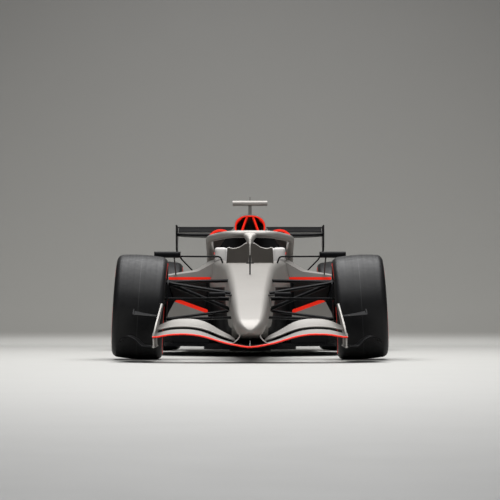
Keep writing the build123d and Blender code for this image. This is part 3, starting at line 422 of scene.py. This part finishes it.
def tyre_rubber(name, joint):
    """Slick tyre rubber: scuffed tread with a seam, moulded rings and a broken red ring on both sidewalls."""
    finish = Finish(name, RUBBER)
    finish.specular(RUBBER_SPECULAR)
    offset = finish.vector("SUBTRACT", finish.place, Vector(joint["pos_m"]))
    along = finish.vector("DOT_PRODUCT", offset, Vector(joint["axis"]).normalized())
    length = finish.vector("LENGTH", offset)
    squares = [finish.math("MULTIPLY", side, side) for side in (length, along)]
    radius = finish.math("SQRT", finish.math("SUBTRACT", *squares))
    parts = finish.add("ShaderNodeSeparateXYZ", Vector=offset).outputs
    angle = finish.math("ARCTAN2", parts["Z"], parts["Y"])
    turn = finish.math("ABSOLUTE", finish.math("SINE", finish.math("ADD", angle, RING_START)))
    ring = finish.between(radius, *RING_RADII)
    finish.mix(finish.math("MULTIPLY", ring, finish.math("GREATER_THAN", turn, RING_GAP)), RED)
    tread = finish.math("GREATER_THAN", radius, TREAD_RADIUS)
    scuff = finish.noise(SCUFF_GRAIN, detail=6.0)
    worn = finish.math("MULTIPLY", tread, finish.ramp(scuff, 0.0, 0.9))
    finish.mix(worn, tuple(TREAD_WEAR * c for c in RUBBER))
    seam = finish.between(along, -SEAM_HALF, SEAM_HALF)
    finish.mix(finish.math("MULTIPLY", tread, seam), SEAM)
    around = finish.add("ShaderNodeCombineXYZ", X=along).outputs["Vector"]
    streak = finish.noise(STREAK_GRAIN, detail=4.0, place=around)
    gloss = finish.math("ADD", finish.math("MULTIPLY", scuff, 0.4), finish.math("MULTIPLY", streak, 0.6))
    finish.rough(gloss, 0.14, 0.78)
    ribs = finish.math("SINE", finish.math("MULTIPLY", radius, SIDE_RIBS))
    side = finish.math("LESS_THAN", radius, TREAD_RADIUS)
    raised = finish.math("MULTIPLY", ribs, finish.math("MULTIPLY", side, SIDE_RIB_HEIGHT))
    finish.bump(finish.math("ADD", raised, scuff), strength=0.18, distance=0.0015)
    return finish.done()


def foam(name):
    """Close woven covering over foam."""
    finish = Finish(name, FOAM)
    vary(finish, scale=12.0, shade=0.08, rough_low=0.78, rough_high=0.92)
    weave = finish.add("ShaderNodeTexBrick", Vector=finish.place, Scale=FOAM_GRAIN).outputs["Fac"]
    finish.bump(finish.math("ADD", weave, finish.noise(320.0)), strength=0.25, distance=0.0008)
    finish.surface.inputs["Sheen Weight"].default_value = FOAM_SHEEN
    return finish.done()


def geometry_group(name):
    """An empty geometry node group, with its way in and its way out."""
    group = bpy.data.node_groups.new(name, "GeometryNodeTree")
    for way in ("INPUT", "OUTPUT"):
        group.interface.new_socket("Geometry", in_out=way, socket_type="NodeSocketGeometry")
    source, sink = group.nodes.new("NodeGroupInput"), group.nodes.new("NodeGroupOutput")
    return group, source.outputs[0], sink.inputs[0]


def smoothing():
    """Node group that joins a skin's facets and shades it smooth up to an angle."""
    group, source, sink = geometry_group("smooth_skin")
    weld = group.nodes.new("GeometryNodeMergeByDistance")
    weld.inputs["Distance"].default_value = WELD_DISTANCE
    faces, edges = (group.nodes.new("GeometryNodeSetShadeSmooth") for _ in range(2))
    edges.domain = "EDGE"
    edges.inputs["Shade Smooth"].default_value = False
    angle = group.nodes.new("GeometryNodeInputMeshEdgeAngle")
    sharp = group.nodes.new("ShaderNodeMath")
    sharp.operation = "GREATER_THAN"
    sharp.inputs[1].default_value = SMOOTH_ANGLE
    group.links.new(angle.outputs["Unsigned Angle"], sharp.inputs[0])
    group.links.new(sharp.outputs[0], edges.inputs["Selection"])
    group.links.new(source, weld.inputs["Geometry"])
    group.links.new(weld.outputs["Geometry"], faces.inputs["Geometry"])
    group.links.new(faces.outputs["Geometry"], edges.inputs["Geometry"])
    group.links.new(edges.outputs["Geometry"], sink)
    return group


def dress(names, material, group):
    """Gives CAD nodes a material and smooth shading."""
    for name in names:
        node = NODES[name]
        node.data.materials.clear()
        node.data.materials.append(material)
        node.modifiers.new("smooth_skin", "NODES").node_group = group


def paint_car():
    """Every CAD node that isn't foam gets its finish."""
    group = smoothing()
    for name, panels in PANELS.items():
        dress([name], titanium(name, panels), group)
    dress(PLAIN_PIECES, titanium("titanium"), group)
    dress(["front_wing_mainplane"], titanium("mainplane", black_below=True), group)
    dress(["bargeboards"], titanium("bargeboard", BARGEBOARD_SHADE_PANELS, BARGEBOARD_RED), group)
    # Painted shade: the titanium deflector is painted dark grey for the shade it sits in.
    dress(["windscreen"], metal("screen", SCREEN_SHADE_AND_DISPLAY, 0.25, 0.35, 900.0), group)
    dress(["airbox_inlet"], mouth_paint("airbox", AIRBOX_MIDDLE, AIRBOX_REACH, AIRBOX_SHADE_START), group)
    dress(["scoop_lips"], red_paint("red"), group)
    dress(CARBON_PIECES, carbon("carbon"), group)
    dress(CAST_PIECES, metal("cast", CAST_METAL, 0.4, 0.6, 300.0), group)
    dress(STEEL_PIECES, metal("steel", STEEL, 0.25, 0.4, 500.0), group)
    dress(["rear_light"], red_paint("lens"), group)
    dress(["mirror_glass"], metal("mirror", MIRROR_METAL, 0.02, 0.05, 20.0), group)
    for place in WHEELS:
        dress(["rim_" + place], metal("rim_" + place, RIM_METAL, 0.3, 0.45, 700.0), group)
        dress(["tyre_" + place], tyre_rubber("rubber_" + place, JOINTS["spin_" + place]), group)


def skin(node):
    """A CAD node's surface, to be felt with rays."""
    mesh = NODES[node].data
    return BVHTree.FromPolygons([v.co for v in mesh.vertices], [tuple(p.vertices) for p in mesh.polygons])


def add_piece(name, mesh, material, body="chassis"):
    """A new mesh piece that rides on a body."""
    mesh.materials.clear()
    mesh.materials.append(material)
    piece = bpy.data.objects.new(name, mesh)
    bpy.context.collection.objects.link(piece)
    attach(piece, body)
    return piece


def settled(piece):
    """The piece's mesh with its modifiers worked in."""
    bpy.context.view_layer.update()
    seen = piece.evaluated_get(bpy.context.evaluated_depsgraph_get())
    return bpy.data.meshes.new_from_object(seen)


def edge_tube(name, points, radius, material):
    """A slim round trim along a run of points."""
    curve = bpy.data.curves.new(name, "CURVE")
    curve.dimensions = "3D"
    curve.bevel_depth = radius
    curve.bevel_resolution = 3
    curve.use_fill_caps = True
    spline = curve.splines.new("POLY")
    spline.points.add(len(points) - 1)
    for target, point in zip(spline.points, points):
        target.co = (*point, 1.0)
    holder = bpy.data.objects.new(name + "_line", curve)
    bpy.context.collection.objects.link(holder)
    mesh = settled(holder)
    bpy.data.objects.remove(holder)
    for face in mesh.polygons:
        face.use_smooth = True
    add_piece(name, mesh, material)


def leading_strip(material):
    """The red line along the front wing's leading edge."""
    surface = skin("front_wing_mainplane")
    low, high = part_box("front_wing_mainplane")
    points = []
    for i in range(STRIP_STEPS + 1):
        x = (low[0] + STRIP_END) + (high[0] - low[0] - 2 * STRIP_END) * i / STRIP_STEPS
        hits = []
        for k in range(STRIP_RAYS):
            z = low[2] + (high[2] - low[2]) * k / STRIP_RAYS
            hit = surface.ray_cast(Vector((x, low[1] - 1.0, z)), Vector((0, 1, 0)))[0]
            if hit:
                hits.append(hit)
        points.append(min(hits, key=lambda p: p.y))
    edge_tube("front_wing_red_line", points, STRIP_RADIUS, material)


def screen_highlight_edge(material):
    """The bright edge along the top of the deflector ahead of the cockpit: a titanium trim that paints the
    highlight where light catches the lip above the deflector's painted shade.
    """
    surface = skin("windscreen")
    low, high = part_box("windscreen")
    middle = (low[1] + high[1]) / 2
    for side, name in ((-1, "screen_edge_right"), (1, "screen_edge_left")):
        points = []
        for i in range(SCREEN_EDGE_STEPS + 1):
            x = side * (SCREEN_EDGE_START + (high[0] - SCREEN_EDGE_SHORTER) * i / SCREEN_EDGE_STEPS)
            hit = surface.ray_cast(Vector((x, middle, high[2] + 0.5)), Vector((0, 0, -1)))[0]
            if hit:
                points.append(hit)
        edge_tube(name, points, SCREEN_EDGE_RADIUS, material)


def screen_rib(material):
    """The slim rib up the middle of the deflector, in line with the halo's pillar."""
    edge_tube("screen_rib", RIB_POINTS, RIB_RADIUS, material)


def pad(node, name, material, voxel):
    """A foam piece with soft edges that stands for a plain block."""
    holder = bpy.data.objects.new(name + "_block", NODES[node].data.copy())
    bpy.context.collection.objects.link(holder)
    remesh = holder.modifiers.new("skin", "REMESH")
    remesh.mode = "VOXEL"
    remesh.voxel_size = voxel
    remesh.use_smooth_shade = True
    soft = holder.modifiers.new("soft", "SMOOTH")
    soft.factor, soft.iterations = 0.5, PAD_ROUNDS
    piece = add_piece(name, settled(holder), material)
    bpy.data.objects.remove(holder)
    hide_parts(node)


def fastener_group(material):
    """Node group that sets a low screw head on every point, along its stored direction."""
    group, source, sink = geometry_group("fasteners")
    head = group.nodes.new("GeometryNodeMeshCylinder")
    head.inputs["Vertices"].default_value = SCREW_SIDES
    head.inputs["Radius"].default_value = SCREW_RADIUS
    head.inputs["Depth"].default_value = SCREW_HEIGHT
    way = group.nodes.new("GeometryNodeInputNamedAttribute")
    way.data_type = "FLOAT_VECTOR"
    way.inputs["Name"].default_value = "direction"
    turn = group.nodes.new("FunctionNodeAlignRotationToVector")
    turn.axis = "Z"
    points = group.nodes.new("GeometryNodeInstanceOnPoints")
    real = group.nodes.new("GeometryNodeRealizeInstances")
    coat = group.nodes.new("GeometryNodeSetMaterial")
    coat.inputs["Material"].default_value = material
    group.links.new(source, points.inputs["Points"])
    group.links.new(head.outputs["Mesh"], points.inputs["Instance"])
    group.links.new(way.outputs["Attribute"], turn.inputs["Vector"])
    group.links.new(turn.outputs["Rotation"], points.inputs["Rotation"])
    group.links.new(points.outputs["Instances"], real.inputs["Geometry"])
    group.links.new(real.outputs["Geometry"], coat.inputs["Geometry"])
    group.links.new(coat.outputs["Geometry"], sink)
    return group


def fasteners(material):
    """Screw heads along the panel edges, set down on the skin by rays."""
    group = fastener_group(material)
    for name, node, start, step, count, aim in FASTENER_ROWS:
        surface = skin(node)
        places, ways = [], []
        for side in (-1, 1):
            for i in range(count):
                spot = Vector(start) + Vector(step) * i
                spot.x *= side
                hit, normal = surface.ray_cast(spot, Vector((aim[0] * side, aim[1], aim[2])))[:2]
                if hit:
                    places.append(hit)
                    ways.append(normal)
        mesh = bpy.data.meshes.new(name)
        mesh.from_pydata(places, [], [])
        stored = mesh.attributes.new("direction", "FLOAT_VECTOR", "POINT")
        for i, normal in enumerate(ways):
            stored.data[i].vector = normal
        piece = add_piece(name, mesh, material)
        piece.modifiers.new("fasteners", "NODES").node_group = group


def handwheel_fittings(shell, screen, colours):
    """The steering wheel's display, buttons and rotary switches."""
    joint = JOINTS["handwheel_turn"]
    axis = Vector(joint["axis"])
    across = Vector((1, 0, 0))
    down = axis.cross(across)

    def fit(name, mesh, x, y, height, material):
        """Sets a fitting on the wheel's face."""
        data = bpy.data.meshes.new(name)
        mesh.to_mesh(data)
        turn = axis.to_track_quat("Z", "Y").to_matrix().to_4x4()
        turn.translation = Vector(joint["pos_m"]) + across * x + down * y + axis * (GRIP_FACE + height / 2)
        data.transform(turn)
        add_piece(name, data, material, body="handwheel")

    def knob(name, x, y, radius, height, material):
        """A round knob with a slight taper."""
        mesh = bmesh.new()
        bmesh.ops.create_cone(
            mesh, cap_ends=True, segments=KNOB_SIDES, depth=height,
            radius1=radius, radius2=KNOB_TAPER * radius,
        )
        edges = [edge for edge in mesh.edges if edge.is_manifold]
        bmesh.ops.bevel(mesh, geom=edges, offset=KNOB_BEVEL * radius, segments=2, affect="EDGES")
        fit(name, mesh, x, y, height, material)

    places = [(side * x, y) for side in (-1, 1) for x, y in BUTTONS_ON_A_SIDE]
    for index, (x, y) in enumerate(places):
        colour = colours[index % len(colours)]
        knob("wheel_button_%d" % index, x, y, BUTTON_RADIUS, BUTTON_HEIGHT, colour)
    for index, x in enumerate(SWITCHES):
        knob("wheel_switch_%d" % index, x, SWITCH_DOWN, SWITCH_RADIUS, SWITCH_HEIGHT, shell)
    mesh = bmesh.new()
    bmesh.ops.create_cube(mesh, size=1.0)
    bmesh.ops.scale(mesh, vec=DISPLAY_SIZE, verts=mesh.verts)
    bmesh.ops.bevel(mesh, geom=list(mesh.edges), offset=DISPLAY_BEVEL, segments=2, affect="EDGES")
    fit("wheel_display", mesh, 0.0, -DISPLAY_UP, DISPLAY_SIZE[2], screen)


def see_through_back(finish):
    """Lets the car be seen through the back of the studio wall."""
    behind = finish.add("ShaderNodeNewGeometry").outputs["Backfacing"]
    clear = finish.add("ShaderNodeBsdfTransparent")
    either = finish.add("ShaderNodeMixShader", Fac=behind)
    finish.feed(either.inputs[1], finish.surface.outputs["BSDF"])
    finish.feed(either.inputs[2], clear.outputs["BSDF"])
    finish.feed(finish.tree.nodes["Material Output"].inputs["Surface"], either.outputs["Shader"])


def cove():
    """A pale floor that curves up into the studio wall, whose colour is painted darker upwards as painted
    shade.
    """
    wall_y = FRONT_AXLE_Y + WALL_BEHIND_AXLE
    bend = wall_y - COVE_RADIUS
    profile = [(FLOOR_FRONT, 0.0), (bend, 0.0)]
    for i in range(1, COVE_STEPS + 1):
        angle = math.pi / 2 * i / COVE_STEPS
        profile.append((bend + COVE_RADIUS * math.sin(angle), COVE_RADIUS - COVE_RADIUS * math.cos(angle)))
    profile.append((wall_y, WALL_TOP))
    mesh = bmesh.new()
    ends = (-COVE_HALF_WIDTH, COVE_HALF_WIDTH)
    rows = [[mesh.verts.new((x, y, z)) for y, z in profile] for x in ends]
    for i in range(len(profile) - 1):
        mesh.faces.new((rows[0][i], rows[1][i], rows[1][i + 1], rows[0][i + 1])).smooth = True
    data = bpy.data.meshes.new("studio_cove")
    mesh.to_mesh(data)
    floor = bpy.data.objects.new("studio_cove", data)
    bpy.context.collection.objects.link(floor)
    finish = Finish("cove", PALE_FLOOR)
    vary(finish, scale=0.6, shade=0.01, rough_low=0.5, rough_high=0.6)
    finish.mix(finish.rise(0.0, FLOOR_BLEND), WALL_LOW)
    # Painted shade: the wall darker upwards.
    finish.mix(finish.rise(*WALL_SHADE_FADE), WALL_PAINTED_SHADE)
    data.materials.append(finish.done())
    see_through_back(finish)


def camera():
    """The camera where the photo was taken."""
    data = bpy.data.cameras.new("camera")
    data.lens = CAMERA_LENS
    data.clip_end = CAMERA_REACH
    holder = bpy.data.objects.new("camera", data)
    holder.location = (0.0, FRONT_AXLE_Y - CAMERA_DISTANCE, CAMERA_HEIGHT)
    holder.rotation_euler = (math.radians(90 + CAMERA_PITCH), 0.0, 0.0)
    bpy.context.collection.objects.link(holder)
    bpy.context.scene.camera = holder


def light():
    """Soft light from above and a faint sky."""
    for name, place, size, power, aim in LAMPS:
        data = bpy.data.lights.new(name, "AREA")
        data.shape = "RECTANGLE"
        data.size, data.size_y = size
        data.energy = power
        lamp = bpy.data.objects.new(name, data)
        lamp.location = place
        lamp.rotation_euler = (Vector(aim) - Vector(place)).to_track_quat("-Z", "Y").to_euler()
        bpy.context.collection.objects.link(lamp)
    world = bpy.data.worlds.new("studio")
    world.use_nodes = True
    sky = world.node_tree.nodes["Background"]
    sky.inputs["Color"].default_value = (*SKY, 1.0)
    sky.inputs["Strength"].default_value = SKY_STRENGTH
    bpy.context.scene.world = world
    bpy.context.scene.view_settings.view_transform = "Standard"


paint_car()
RED_TRIM = red_paint("red_trim")
leading_strip(RED_TRIM)
# Titanium trim: the painted highlight on the deflector's top edge, and the rib in line with the halo's
# pillar.
SCREEN_TRIM_AND_HIGHLIGHT = titanium("screen_trim")
screen_highlight_edge(SCREEN_TRIM_AND_HIGHLIGHT)
screen_rib(SCREEN_TRIM_AND_HIGHLIGHT)
pad("headrest", "headrest_pad", foam("headrest_foam"), voxel=0.006)
pad("seat", "seat_foam", foam("seat_foam"), voxel=0.010)
fasteners(metal("screw", STEEL, 0.25, 0.4, 900.0))
handwheel_fittings(
    shell=metal("switch", CARBON, 0.4, 0.5, 800.0),
    screen=metal("display", SCREEN_SHADE_AND_DISPLAY, 0.08, 0.12, 200.0),
    colours=[RED_TRIM, metal("button_silver", STEEL, 0.3, 0.4, 800.0)],
)
cove()
camera()
light()
